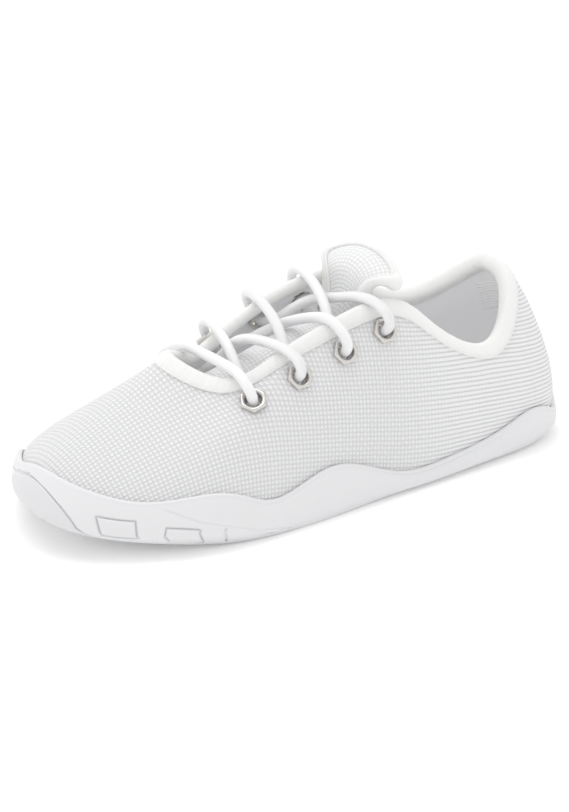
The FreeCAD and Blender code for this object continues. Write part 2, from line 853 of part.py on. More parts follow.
def add_eyelet(side_name, number, t, v):
    name = "eyelet_%s_%d" % (side_name, number)
    flange = bound("Part::Prism", name + "_hex", Circumradius="sizes.eyelet_flats / sqrt(3)",
                   Height="sizes.eyelet_flange")
    flange.Polygon = 6
    barrel = bound("Part::Cylinder", name + "_barrel", Radius="sizes.eyelet_barrel / 2")
    barrel.Height = barrel_depth(t, v) + 0.4
    barrel.Placement = local(-barrel_depth(t, v))
    bore = bound("Part::Cylinder", name + "_bore", Radius="sizes.eyelet_bore / 2")
    bore.Height = 20
    bore.Placement = local(-12)
    body = DOC.addObject("Part::Fuse", name + "_body")
    body.Base = flange
    body.Tool = barrel
    node = DOC.addObject("Part::Cut", name)
    node.Base = body
    node.Tool = bore
    node.Label = name
    node.Placement = shifted(eyelet_frame(t, v, -size("seat_gap")))
    NODES.append(node)


def barrel_depth(t, v):
    return inside_depth(t, v) + size("seat_gap") + 1.4


def add_washer(side_name, number, t, v):
    name = "eyelet_washer_%s_%d" % (side_name, number)
    disc = bound("Part::Cylinder", name + "_disc", Radius="sizes.washer_diameter / 2",
                 Height="sizes.washer_thickness")
    bore = bound("Part::Cylinder", name + "_bore", Radius="sizes.eyelet_bore / 2",
                 Height="sizes.washer_thickness + 2")
    bore.Placement = local(-1)
    node = DOC.addObject("Part::Cut", name)
    node.Base = disc
    node.Tool = bore
    node.Label = name
    depth = inside_depth(t, v) + 1.55 + size("washer_thickness")
    node.Placement = shifted(eyelet_frame(t, v, depth))
    NODES.append(node)


NODES = []
add_feature("outsole", outsole_shape())
add_feature("midsole", midsole_shape())
add_feature("toe_guard", toe_guard_shape())
for number, corners in enumerate(PODS, start=1):
    add_feature("outsole_pod_%d" % number, pod_shape(corners))
add_feature("insole_board", board_shape())
add_feature("sockliner", sockliner_shape())
add_feature("upper_fabric", fabric_shape())
add_feature("upper_lining", lining_shape())
add_feature("toe_puff", toe_puff_shape())
add_feature("heel_counter", heel_counter_shape())
add_feature("collar_foam", collar_foam_shape())
add_feature("eyestay_lateral", eyestay_shape(1))
add_feature("eyestay_medial", eyestay_shape(-1))
add_feature("heel_lining_patch", heel_patch_shape())
add_feature("topline_binding", binding_shape())
for eyelet in all_eyelets():
    add_eyelet(*eyelet)
    add_washer(*eyelet)
add_feature("tongue_outer", tongue_outer_shape())
add_feature("tongue_foam", tongue_foam_shape())
add_feature("tongue_lining", tongue_lining_shape())
add_feature("tongue_binding", tongue_binding_shape())
add_lace()


def check_and_write():
    DOC.recompute()
    for item in DOC.Objects:
        if "Invalid" in item.State or "Error" in item.State:
            raise RuntimeError("bad state: " + item.Name)
    os.makedirs("parts", exist_ok=True)
    low = Vector(1e9, 1e9, 1e9)
    high = Vector(-1e9, -1e9, -1e9)
    for node in NODES:
        shape = node.Shape
        if shape.isNull() or not shape.isValid() or shape.Volume <= 0:
            raise RuntimeError("bad shape: " + node.Label)
        box = shape.BoundBox
        low = Vector(min(low.x, box.XMin), min(low.y, box.YMin), min(low.z, box.ZMin))
        high = Vector(max(high.x, box.XMax), max(high.y, box.YMax), max(high.z, box.ZMax))
        print("%-28s %10.1f mm3 solids %d" % (node.Label, shape.Volume, len(shape.Solids)))
        shape.exportStep("parts/%s.step" % node.Label)
    print("box", low, high)


check_and_write()
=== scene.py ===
import math

import bpy
import numpy as np
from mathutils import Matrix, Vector


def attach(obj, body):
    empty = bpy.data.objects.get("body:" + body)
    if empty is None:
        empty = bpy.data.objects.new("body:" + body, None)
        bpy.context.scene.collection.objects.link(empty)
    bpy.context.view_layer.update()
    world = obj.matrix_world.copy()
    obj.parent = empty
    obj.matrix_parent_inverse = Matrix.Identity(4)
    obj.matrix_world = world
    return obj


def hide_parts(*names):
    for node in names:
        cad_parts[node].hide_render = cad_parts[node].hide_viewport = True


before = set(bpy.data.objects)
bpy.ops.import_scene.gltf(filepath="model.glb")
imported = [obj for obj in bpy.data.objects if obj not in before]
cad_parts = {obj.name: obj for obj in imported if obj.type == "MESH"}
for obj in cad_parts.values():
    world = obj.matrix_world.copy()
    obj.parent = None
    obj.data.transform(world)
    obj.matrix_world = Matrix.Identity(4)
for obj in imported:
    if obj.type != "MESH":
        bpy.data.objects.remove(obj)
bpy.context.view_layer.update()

# A white running shoe.  The last, the sole and the tongue are worked out in millimetres from the same
# tables as the CAD; (t, v) is a place on the upper, (t, w) a place on the sole wall.
LENGTH_SHIFT = 134.2
WIDTH_SHIFT = 0.7
MM = 0.001

OUTLINE = [
    (1, -1), (8, 22), (30, 37.5), (81, 44.5), (131, 49), (177.5, 53), (217.5, 49.5), (256, 27.5),
    (266, -3), (254, -34), (239.5, -49.5), (199.5, -51), (148, -42), (96, -34), (38.5, -34), (9, -23),
]
EDGE_INSET = [8.5, 8, 3, 5, 2.5, 2.5, 8, 12, 12.5, 11, 6, 4.5, 4, 4, 4, 7]
EDGE_HEIGHT = [3, 2.5, 1, 0, 0, 0, 1.5, 6.5, 11, 6.5, 1.5, 0, 0, 0, 1, 2.5]
FEATHER_INSET = [5, 5, 5, 5, 5, 5, 5, 5.5, 6, 5.5, 5, 5, 5, 5, 5, 5]
FEATHER_HEIGHT = [9.5, 9, 7, 5.5, 5, 5, 7, 12.5, 17, 12.5, 7, 5, 5, 5.5, 7, 9]
TOPLINE = [
    (28.5, -1.5, 78.5), (33, 15, 71.5), (53, 29, 52), (81.5, 27, 63.5), (102, 22, 78), (133.5, 20.5, 72.5),
    (160.5, 21.5, 64), (181.5, 15, 56.5), (194, -6, 63.5), (181.5, -15.5, 59), (164, -21, 60),
    (134, -22.5, 74), (103, -21, 80), (79.5, -28, 68.5), (52, -30, 60), (31, -15.5, 73.5),
]
RISE_ANGLE = [93, 63, 56, 79, 91, 90, 81, 78, 66, 58, 66, 77, 81, 81, 81, 88]
RISE_PULL = [48, 58, 52, 33, 44, 45, 42, 45, 64, 75, 64, 53, 42, 31, 35, 43]
CLOSE_ANGLE = [29, 34, 49, 46, 48, 44, 39, 39, 37, 33, 38, 40, 44, 45, 54, 42]
CLOSE_PULL = [53, 46, 42, 36, 38, 45, 59, 80, 91, 84, 66, 51, 44, 42, 48, 55]
LIP_HEIGHT = [
    30, 23.5, 15.5, 13.5, 19.5, 13.5, 8.5, 8, 15.5, 19.5, 14, 18, 21.5, 20.5, 23, 27,
    29, 25.5, 23.5, 19.5, 16, 15, 16.5, 18.5, 19, 15, 12, 12.5, 17, 23, 28, 31,
]
LATERAL_EYELETS = [(0.3904, 0.78), (0.3407, 0.76), (0.2947, 0.756), (0.2582, 0.787)]
MEDIAL_EYELETS = [(0.612, 0.78), (0.661, 0.76), (0.6995, 0.76), (0.7345, 0.785)]
EYELET_CLEAR = 4.3
EYELET_REACH = 12
EYELET_BORE = 3.55
EYELET_FLAT = 5.15
EYELET_CORNER = 5.75
EYELET_ROUND = 5.2
LINING_DEPTH = 2.9
COLLAR_PADDING = 2.6
LIP_OUT = 2.4
LIP_TUCK = 0.6
WALL_BULGE = 0.7
PATCH_SHARE = 0.055
PATCH_LOW = 0.56
PATCH_HIGH = 0.8
PATCH_THICKNESS = 0.55

TONGUE_LINE = [(208, 48.5), (197, 50), (184, 52.5), (168, 56.2), (150, 61.7), (133, 66), (118, 69),
               (111.3, 76.5), (109.3, 86.5), (105, 92.3), (99, 94.5), (92.5, 91.5)]
TONGUE_WIDTH = [10, 12, 13.5, 15, 15, 15, 14.5, 14.5, 16, 23, 25.5, 24]
TONGUE_CROWN = [8, 8.5, 9.5, 9, 8.7, 8.5, 8, 5.5, 3.2, 5.6, 8.5, 9.3]
TONGUE_TILT = [0, 0, 0, 0, 0, 0, 0, 0, 0, 0, 1, 3.2]
TONGUE_CORNER = 0.12

LACE_ROUTE = [
    (-90, -19.5, 11.2), (-77, -23.5, 11.2), (-63, -26, 18), (-50, -27.5, 30), (-36, -24, 44),
    (-18.5, -20.1, 65.8), (-19.4, -33.6, 70.7), (-18, -32, 80), (-16.5, -21.5, 84),
    (-12, -0.5, 79), (-7.5, 13.5, 68), (-4.9, 20.4, 58.2), (-3.9, 32, 64.8), (-1.5, 30.5, 72.5),
    (-0.5, 20, 77), (3.5, -0.5, 70), (6.5, -15.5, 61.5), (21.7, -28.9, 49.5), (25.5, -36.3, 59.8),
    (27.5, -30.5, 66), (29.5, -20.5, 67.5), (34.5, -1, 64.5), (36.5, 13.5, 52), (39.2, 25.4, 44.9),
    (43.3, 31.2, 53.8), (45, 27, 60), (43.5, 17.5, 61.5), (47.5, -0.5, 64), (47.5, -16.5, 63.5),
    (49, -27, 58), (48.5, -32.6, 52.1), (45.5, -27.6, 41.5), (30.5, -15.5, 52), (28, -4.5, 66.5),
    (24.5, 20, 69.5), (22, 32, 66.5), (20.1, 33.1, 59.3), (19.5, 22.5, 52.1), (15.5, 14, 61),
    (11, -0.5, 71.5), (6.5, -23, 75.5), (4.5, -34.5, 74), (1.8, -36, 66), (1.8, -24, 59.8),
    (-14.5, -15, 72), (-17.5, -0.5, 76), (-20.5, 20.5, 82), (-23, 32, 77.5), (-25, 32.2, 70),
    (-25.7, 18.6, 63.7), (-40, 25.5, 45), (-52, 27.5, 31), (-65, 26, 18.5), (-79, 22.5, 11.2),
    (-92, 18, 11.2),
]
LACE_DIAMETER = 0.0045


# ---------------------------------------------------------------- camera


def add_camera():
    """Front three-quarter view from the lateral side."""
    azimuth = math.radians(145.87)
    elevation = math.radians(20.29)
    target = Vector((0.0008, -0.0007, 0.045))
    level = math.cos(elevation)
    back = Vector((math.sin(azimuth) * level, -math.cos(azimuth) * level, math.sin(elevation)))
    data = bpy.data.cameras.new("camera")
    data.sensor_fit = "HORIZONTAL"
    data.sensor_width = 36
    data.lens = 141.1
    data.shift_x = -0.0199
    data.shift_y = -0.056
    camera = bpy.data.objects.new("camera", data)
    camera.location = target + back * 0.95
    camera.rotation_euler = back.to_track_quat("Z", "Y").to_euler()
    bpy.context.scene.collection.objects.link(camera)
    bpy.context.scene.camera = camera


add_camera()


# ---------------------------------------------------------------- the last


def periodic(values):
    """Cubic spline through equally spaced values on a closed loop, as a function of t."""
    y = np.array(values, float)
    count = len(y)
    links = 4 * np.eye(count) + np.roll(np.eye(count), 1, 0) + np.roll(np.eye(count), -1, 0)
    bend = np.linalg.solve(links, 6 * (np.roll(y, -1) - 2 * y + np.roll(y, 1)))

    def at(t):
        place = np.mod(t, 1.0) * count
        i = np.floor(place).astype(int) % count
        j = (i + 1) % count
        u = place - np.floor(place)
        w = 1 - u
        return w * y[i] + u * y[j] + (w**3 - w) * bend[i] / 6 + (u**3 - u) * bend[j] / 6

    return at


def periodic_points(points):
    parts = [periodic([p[k] for p in points]) for k in range(len(points[0]))]
    return lambda t: np.stack([part(t) for part in parts], -1)


def open_spline(values):
    """Cubic spline through equally spaced values, as a function of a share from 0 to 1."""
    y = np.array(values, float)
    count = len(y)
    links = np.zeros((count, count))
    push = np.zeros(count)
    for i in range(1, count - 1):
        links[i, i - 1:i + 2] = (1, 4, 1)
        push[i] = 3 * (y[i + 1] - y[i - 1])
    links[0, 0] = 1
    links[-1, -1] = 1
    push[0] = (-11 * y[0] + 18 * y[1] - 9 * y[2] + 2 * y[3]) / 6
    push[-1] = (11 * y[-1] - 18 * y[-2] + 9 * y[-3] - 2 * y[-4]) / 6
    slope = np.linalg.solve(links, push)

    def at(share):
        place = np.clip(share, 0, 1) * (count - 1)
        i = np.minimum(np.floor(place).astype(int), count - 2)
        u = place - i
        a = 2 * u**3 - 3 * u**2 + 1
        b = u**3 - 2 * u**2 + u
        c = 3 * u**2 - 2 * u**3
        d = u**3 - u**2
        return a * y[i] + b * slope[i] + c * y[i + 1] + d * slope[i + 1]

    return at


outline = periodic_points(OUTLINE)
edge_inset = periodic(EDGE_INSET)
edge_height = periodic(EDGE_HEIGHT)
feather_inset = periodic(FEATHER_INSET)
feather_height = periodic(FEATHER_HEIGHT)
topline = periodic_points(TOPLINE)
rise_angle = periodic(RISE_ANGLE)
rise_pull = periodic(RISE_PULL)
close_angle = periodic(CLOSE_ANGLE)
close_pull = periodic(CLOSE_PULL)
lip_height = periodic(LIP_HEIGHT)


def unit(vectors):
    return vectors / np.maximum(np.linalg.norm(vectors, axis=-1, keepdims=True), 1e-12)


def mix(a, b, u):
    return a + (b - a) * u


def smooth(low, high, x):
    u = np.clip((x - low) / (high - low), 0, 1)
    return u * u * (3 - 2 * u)


def side(t):
    """Level unit vector pointing out of the shoe at t."""
    step = 0.001
    a = outline(t - step)
    b = outline(t + step)
    return unit(np.stack([a[..., 1] - b[..., 1], b[..., 0] - a[..., 0], 0 * a[..., 0]], -1))


def plan(t, inset, height):
    """Point at t, the given distance in from the outline and the given height up."""
    xy = outline(t)
    point = np.stack([xy[..., 0], xy[..., 1], height + 0 * t], -1)
    return point - side(t) * (inset + 0 * t)[..., None]


def upper(t, v):
    """Outer face of the upper."""
    t, v = np.broadcast_arrays(np.asarray(t, float), np.asarray(v, float))
    out = side(t)
    rise = np.radians(rise_angle(t))[..., None]
    close = np.radians(close_angle(t))[..., None]
    up = np.array([0.0, 0.0, 1.0])
    leave = (out * np.cos(rise) + up * np.sin(rise)) * rise_pull(t)[..., None]
    arrive = (up * np.sin(close) - out * np.cos(close)) * close_pull(t)[..., None]
    v = v[..., None]
    a = 2 * v**3 - 3 * v**2 + 1
    b = v**3 - 2 * v**2 + v
    c = 3 * v**2 - 2 * v**3
    d = v**3 - v**2
    feather = plan(t, feather_inset(t), feather_height(t))
    return feather * a + leave * b + topline(t) * c + arrive * d


def upper_normal(t, v):
    step = 0.002
    along = upper(t + step, v) - upper(t - step, v)
    rise = upper(t, np.minimum(v + step, 1)) - upper(t, np.maximum(v - step, 0))
    return unit(np.cross(rise, along))


def layer(t, v, out):
    """A point the given distance outside (+) or inside (-) the outer face of the upper."""
    t, v, out = np.broadcast_arrays(np.asarray(t, float), np.asarray(v, float), np.asarray(out, float))
    return upper(t, v) + upper_normal(t, v) * out[..., None]


def v_at_height(t, height):
    """The v at which the upper reaches a height, by halving the interval."""
    low = 0 * t
    high = 0 * t + 0.6
    for _ in range(26):
        middle = (low + high) / 2
        below = upper(t, middle)[..., 2] < height
        low = np.where(below, middle, low)
        high = np.where(below, high, middle)
    return low


def inside_depth(t, v):
    """Depth of the lining's inner face under the outer face; the collar is padded."""
    from_heel = np.minimum(np.mod(t, 1), 1 - np.mod(t, 1))
    collar = 1 - smooth(0.15, 0.235, from_heel)
    return LINING_DEPTH + COLLAR_PADDING * collar * smooth(0.5, 0.75, v)


def wall(t, w):
    """Outer face of the sole: w 0 at the ground edge, 1 at the widest line, 2 at the lip."""
    t, w = np.broadcast_arrays(np.asarray(t, float), np.asarray(w, float))
    foot = edge_height(t) + 0.3
    wide = 0.6 * edge_height(t) + 0.4 * lip_height(t)
    low = plan(t, edge_inset(t) * (1 - w)**2, foot + (wide - foot) * w)
    u = np.clip(w - 1, 0, None)[..., None]
    start = plan(t, 0 * t, wide)
    stations, back = np.unique(t, return_inverse=True)
    lip = layer(stations, v_at_height(stations, lip_height(stations) - LIP_TUCK), LIP_OUT)
    end = lip[back.reshape(t.shape)]
    high = start * (1 - u) + end * u + side(t) * (4 * u * (1 - u) * WALL_BULGE)
    return np.where((w <= 1)[..., None], low, high)


def wall_normal(t, w):
    step = 0.004
    along = wall(t + step, w) - wall(t - step, w)
    rise = wall(t, w + step) - wall(t, w - step)
    return unit(np.cross(rise, along))


# ---------------------------------------------------------------- meshes


def to_frame(points):
    return (np.asarray(points, float) - (LENGTH_SHIFT, WIDTH_SHIFT, 0)) * MM


def add_mesh(name, points, quads, corner_uv, material):
    """Smooth-shaded piece from points in millimetres; corner_uv has one pair per quad corner."""
    mesh = bpy.data.meshes.new(name)
    mesh.from_pydata(to_frame(points).tolist(), [], quads.tolist())
    mesh.uv_layers.new(name="metric")
    mesh.uv_layers["metric"].data.foreach_set("uv", corner_uv.reshape(-1).astype(np.float32))
    mesh.polygons.foreach_set("use_smooth", np.ones(len(quads), dtype=bool))
    mesh.materials.append(material)
    mesh.update()
    piece = bpy.data.objects.new(name, mesh)
    bpy.context.scene.collection.objects.link(piece)
    return piece


def grid_quads(rows, columns, wrap_columns):
    index = np.arange(rows * columns).reshape(rows, columns)
    if wrap_columns:
        index = np.concatenate([index, index[:, :1]], 1)
    return np.stack([index[:-1, :-1], index[:-1, 1:], index[1:, 1:], index[1:, :-1]], -1)


def corners(grid):
    """The four corner values of every cell of a grid."""
    return np.stack([grid[:-1, :-1], grid[:-1, 1:], grid[1:, 1:], grid[1:, :-1]], -2)


def metric(points, wrap_columns):
    """Running distances in millimetres along a grid's columns and rows, one step past the seam."""
    grid = points
    if wrap_columns:
        grid = np.concatenate([grid, grid[:, :1]], 1)
    across = np.linalg.norm(np.diff(grid, axis=1), axis=-1).mean(0)
    down = np.linalg.norm(np.diff(grid, axis=0), axis=-1)
    u = np.concatenate([[0], np.cumsum(across)])
    v = np.concatenate([np.zeros((1, grid.shape[1])), np.cumsum(down, axis=0)])
    return np.stack([np.broadcast_to(u, v.shape), v], -1)


def grid_piece(name, points, material, wrap_columns=False, uv=None, drop=None, flip=False):
    """Piece from a grid of points; drop picks the quads to leave out, flip turns the faces over."""
    rows, columns = points.shape[:2]
    quads = grid_quads(rows, columns, wrap_columns)
    if uv is None:
        uv = metric(points, wrap_columns)
    uv_corners = corners(uv)
    if flip:
        quads = quads[..., ::-1]
        uv_corners = uv_corners[..., ::-1, :]
    quads = quads.reshape(-1, 4)
    uv_corners = uv_corners.reshape(-1, 4, 2)
    if drop is not None:
        keep = ~drop(points.reshape(-1, 3)[quads].mean(1))
        quads = quads[keep]
        uv_corners = uv_corners[keep]
    return add_mesh(name, points.reshape(-1, 3), quads, uv_corners, material)


# every eyelet as its side, its number, its place on the upper and the way it faces
EYELETS = []
for side_name, places in (("lateral", LATERAL_EYELETS), ("medial", MEDIAL_EYELETS)):
    for number, (t, v) in enumerate(places, start=1):
        EYELETS.append((side_name, number, upper(t, v), upper_normal(t, v)))


def in_eyelet(points):
    """Which points lie in an eyelet's hole."""
    hit = np.zeros(len(points), bool)
    for _, _, centre, normal in EYELETS:
        away = points - centre
        depth = away @ normal
        radial = np.linalg.norm(away - depth[:, None] * normal, axis=-1)
        hit |= (radial < EYELET_CLEAR) & (np.abs(depth) < EYELET_REACH)
    return hit


# ---------------------------------------------------------------- materials


class Shader:
    """A Principled material with its bump, built from nodes."""

    def __init__(self, name, colour, roughness, **settings):
        self.material = bpy.data.materials.new(name)
        self.material.use_nodes = True
        self.tree = self.material.node_tree
        self.base = self.tree.nodes["Principled BSDF"]
        self.base.inputs["Base Color"].default_value = (*colour, 1)
        self.base.inputs["Roughness"].default_value = roughness
        for key, value in settings.items():
            self.base.inputs[key.replace("_", " ")].default_value = value

    def put(self, socket, value):
        if isinstance(value, bpy.types.NodeSocket):
            self.tree.links.new(value, socket)
        else:
            socket.default_value = value

    def math(self, operation, first, second=None, third=None):
        node = self.tree.nodes.new("ShaderNodeMath")
        node.operation = operation
        for socket, value in zip(node.inputs, (first, second, third)):
            if value is not None:
                self.put(socket, value)
        return node.outputs[0]

    def uv(self):
        """The two metric coordinates, in millimetres."""
        source = self.tree.nodes.new("ShaderNodeUVMap")
        source.uv_map = "metric"
        split = self.tree.nodes.new("ShaderNodeSeparateXYZ")
        self.tree.links.new(source.outputs[0], split.inputs[0])
        return split.outputs[0], split.outputs[1]

    def place(self):
        return self.tree.nodes.new("ShaderNodeTexCoord").outputs["Object"]

    def noise(self, scale, detail, roughness=0.55):
        node = self.tree.nodes.new("ShaderNodeTexNoise")
        node.inputs["Scale"].default_value = scale
        node.inputs["Detail"].default_value = detail
        node.inputs["Roughness"].default_value = roughness
        self.tree.links.new(self.place(), node.inputs["Vector"])
        return node.outputs[0]

    def spread(self, value, low, high):
        """Take a value that runs from 0 to 1 to the range from low to high."""
        return self.math("MULTIPLY_ADD", value, high - low, low)

    def bump(self, height, distance, strength=1.0):
        """Add a bump; the height runs from 0 to 1 and the distance is in metres."""
        node = self.tree.nodes.new("ShaderNodeBump")
        node.inputs["Strength"].default_value = strength
        node.inputs["Distance"].default_value = distance
        self.tree.links.new(height, node.inputs["Height"])
        normal = self.base.inputs["Normal"]
        if normal.links:
            self.tree.links.new(normal.links[0].from_socket, node.inputs["Normal"])
        self.tree.links.new(node.outputs[0], normal)

    def tint(self, factor, low, high):
        """Base colour from low to high as the factor goes from 0 to 1."""
        node = self.tree.nodes.new("ShaderNodeValToRGB")
        node.color_ramp.elements[0].color = (*low, 1)
        node.color_ramp.elements[1].color = (*high, 1)
        self.tree.links.new(factor, node.inputs[0])
        self.tree.links.new(node.outputs[0], self.base.inputs["Base Color"])

    def rough(self, value):
        self.tree.links.new(value, self.base.inputs["Roughness"])


def wave(shader, value, pitch):
    """Rounded ridges of the given pitch: the sine that changes sign at each groove."""
    return shader.math("SINE", shader.math("MULTIPLY", value, math.pi / pitch))


def weave_material(name, pitch, depth, heel_ribs, painted_glow):
    """Basket weave of flat yarns; with heel_ribs, the level yarns stand out as ribs to the rear."""
    # painted_glow is painted light: an emission that makes the woven cloth glow brighter
    shader = Shader(name, (0.77, 0.77, 0.775), 0.78, Sheen_Weight=0.15, Sheen_Roughness=0.5,
                    Emission_Color=(1, 1, 1, 1), Emission_Strength=painted_glow)
    u, v = shader.uv()
    drift = shader.math("MULTIPLY", shader.noise(90, 2), 0.5)
    u = shader.math("ADD", u, drift)
    v = shader.math("ADD", v, drift)
    upright = wave(shader, u, pitch)
    level = wave(shader, v, pitch)
    over_upright = shader.math("ABSOLUTE", upright)
    over_level = shader.math("ABSOLUTE", level)
    sign = shader.math("MULTIPLY", upright, level)
    which = shader.math("SMOOTH_MIN", shader.math("MULTIPLY_ADD", sign, 3.0, 0.5), 1.0, 0.3)
    which = shader.math("MAXIMUM", which, 0.0)
    ridge_level = shader.math("POWER", over_level, 0.7)
    ridge_upright = shader.math("POWER", over_upright, 0.7)
    level_yarn = shader.math("MULTIPLY", ridge_level, shader.spread(over_upright, 0.2, 1.0))
    upright_yarn = shader.math("MULTIPLY", ridge_upright, shader.spread(over_level, 0.2, 0.8))
    gap = shader.math("SUBTRACT", level_yarn, upright_yarn)
    basket = shader.math("MULTIPLY_ADD", gap, which, upright_yarn)
    height = basket
    if heel_ribs:
        rear = shader.tree.nodes.new("ShaderNodeAttribute")
        rear.attribute_name = "rear"
        ribs = shader.math("MULTIPLY", ridge_level, shader.spread(ridge_upright, 0.84, 1.0))
        extra = shader.math("SUBTRACT", ribs, basket)
        height = shader.math("MULTIPLY_ADD", extra, rear.outputs["Fac"], basket)
    # the gaps between yarns and the rib troughs are painted darker: painted shade in the hollows of the
    # weave
    shader.tint(height, (0.6, 0.6, 0.61), (0.8, 0.8, 0.805))
    shader.rough(shader.spread(height, 0.92, 0.66))
    shader.bump(shader.noise(2600, 3), 0.00006, 0.6)
    shader.bump(height, depth)
    return shader.material


def rubber_material(name, colour, roughness):
    shader = Shader(name, colour, roughness, Specular_IOR_Level=0.4)
    shader.rough(shader.spread(shader.noise(160, 3), roughness - 0.07, roughness + 0.09))
    shader.bump(shader.noise(1500, 4), 0.00003, 0.5)
    return shader.material


def cloth_material(name, colour, pitch, depth, painted_glow):
    """Fine twill: slanting ridges with a cross thread; painted_glow is painted light, an emission standing
    in for the light that comes through the cloth.
    """
    shader = Shader(name, colour, 0.85, Sheen_Weight=0.3, Sheen_Roughness=0.45,
                    Emission_Color=(1, 1, 1, 1), Emission_Strength=painted_glow)
    u, v = shader.uv()
    slant = shader.math("ABSOLUTE", wave(shader, shader.math("ADD", u, v), pitch))
    cross = shader.math("ABSOLUTE", wave(shader, shader.math("SUBTRACT", u, v), pitch * 1.6))
    height = shader.math("MULTIPLY", slant, shader.spread(cross, 0.6, 1.0))
    # the twill's grooves are painted darker: painted shade
    painted_groove_shade = tuple(c * 0.93 for c in colour)
    shader.tint(height, painted_groove_shade, colour)
    shader.bump(shader.noise(2200, 3), 0.00005, 0.5)
    shader.bump(height, depth)
    return shader.material


def ribbed_material():
    # the emission is painted light: the ribbed cloth glows brighter though it is no lamp
    shader = Shader("ribbed_textile", (0.75, 0.75, 0.75), 0.85, Sheen_Weight=0.2,
                    Emission_Color=(1, 1, 1, 1), Emission_Strength=0.08)
    u, v = shader.uv()
    rib = shader.math("ABSOLUTE", wave(shader, v, 1.6))
    stitch = shader.math("ABSOLUTE", wave(shader, u, 0.9))
    height = shader.math("MULTIPLY", shader.math("POWER", rib, 0.6), shader.spread(stitch, 0.8, 1.0))
    # the rib troughs are painted darker: painted shade
    shader.tint(height, (0.82, 0.82, 0.83), (0.88, 0.88, 0.89))
    shader.bump(height, 0.0003)
    return shader.material


def lace_material():
    """Fine round braid: two sets of strands winding opposite ways."""
    # the emission is painted light: the lace glows brighter though it is no lamp
    shader = Shader("lace_textile", (0.87, 0.87, 0.875), 0.72, Sheen_Weight=0.3, Sheen_Roughness=0.4,
                    Emission_Color=(1, 1, 1, 1), Emission_Strength=0.06)
    u, v = shader.uv()
    right = wave(shader, shader.math("ADD", u, v), 0.62)
    left = wave(shader, shader.math("SUBTRACT", u, v), 0.62)
    weave = shader.math("ABSOLUTE", shader.math("MULTIPLY", right, left))
    height = shader.math("POWER", weave, 0.5)
    # the hollows between the braid strands are painted darker: painted shade
    shader.tint(height, (0.76, 0.76, 0.77), (0.86, 0.86, 0.865))
    shader.bump(height, 0.00007)
    return shader.material


def nickel_material():
    shader = Shader("nickel", (0.66, 0.64, 0.61), 0.24, Metallic=1.0)
    shader.rough(shader.spread(shader.noise(900, 4), 0.16, 0.36))
    shader.bump(shader.noise(1400, 3), 0.00003, 0.4)
    return shader.material


WEAVE_PITCH = 1.85
# the last number given to weave_material and cloth_material is painted light, an emission that brightens
# the cloth
WEAVE = weave_material("woven_textile", WEAVE_PITCH, 0.00036, True, 0.0)
TONGUE_WEAVE = weave_material("tongue_textile", WEAVE_PITCH, 0.00032, False, 0.07)
RUBBER = rubber_material("sole_rubber", (0.70, 0.70, 0.71), 0.5)
# toe_rubber is the sole rubber made a little darker: painted shade for the toe, which faces down and
# forward
TOE_RUBBER = rubber_material("toe_rubber", (0.66, 0.66, 0.67), 0.5)
FOAM = rubber_material("sole_foam", (0.71, 0.71, 0.72), 0.55)
BINDING = cloth_material("binding_textile", (0.82, 0.82, 0.805), 0.7, 0.00008, 0.04)
LINING = cloth_material("lining_textile", (0.86, 0.86, 0.87), 0.8, 0.00006, 0.08)
SOCKLINER = cloth_material("sockliner_fabric", (0.86, 0.86, 0.87), 0.9, 0.0001, 0.06)
RIBBED = ribbed_material()
LACE = lace_material()
NICKEL = nickel_material()
AGLET = rubber_material("aglet_plastic", (0.85, 0.85, 0.86), 0.2)
BOARD = rubber_material("board", (0.7, 0.68, 0.64), 0.85)


def paint(material, *nodes):
    """Give CAD nodes a finished material."""
    for node in nodes:
        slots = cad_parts[node].data.materials
        slots.clear()
        slots.append(material)


# ---------------------------------------------------------------- upper


def cloth_directions(points, normals, shares):
    """Unit vectors of the level yarns and of the upright yarns of the one-piece upper."""
    ahead = np.array([0.98, 0.0, 0.2])
    drape = ahead - normals * (normals @ ahead)[..., None]
    over_toe = np.cross(np.array([0.0, 1.0, 0.0]), normals)
    front = unit(drape + over_toe)
    sign = np.where(shares < 0.5, 1.0, -1.0)[..., None]
    round_heel = unit(np.cross(normals, np.array([0.0, 0.0, 1.0]))) * sign
    climb = smooth(10, 60, points[..., 2])[..., None] * 0.2
    round_heel = unit(round_heel + climb * np.cross(normals, round_heel) * -1)
    blend = smooth(70, 120, points[..., 0])[..., None]
    level = unit(mix(round_heel, front, blend))
    return level, unit(np.cross(normals, level))


def lay_cloth(points, direction):
    """Distance in millimetres along a direction field, as even as the surface allows.

    This is the least-squares field, found by conjugate gradients.
    """
    steps_across = np.diff(points, axis=1)
    steps_down = np.diff(points, axis=0)
    want_across = (steps_across * (direction[:, 1:] + direction[:, :-1]) / 2).sum(-1)
    want_down = (steps_down * (direction[1:] + direction[:-1]) / 2).sum(-1)

    def gather(across, down):
        total = np.zeros(points.shape[:2])
        total[:, 1:] += across
        total[:, :-1] -= across
        total[1:] += down
        total[:-1] -= down
        return total

    def apply(field):
        return gather(np.diff(field, axis=1), np.diff(field, axis=0)) + field * 1e-9

    answer = np.zeros(points.shape[:2])
    rest = gather(want_across, want_down)
    search = rest.copy()
    power = (rest * rest).sum()
    for _ in range(1200):
        pushed = apply(search)
        step = power / (search * pushed).sum()
        answer += step * search
        rest -= step * pushed
        fresh = (rest * rest).sum()
        if fresh < 1e-8:
            break
        search = rest + search * (fresh / power)
        power = fresh
    return answer


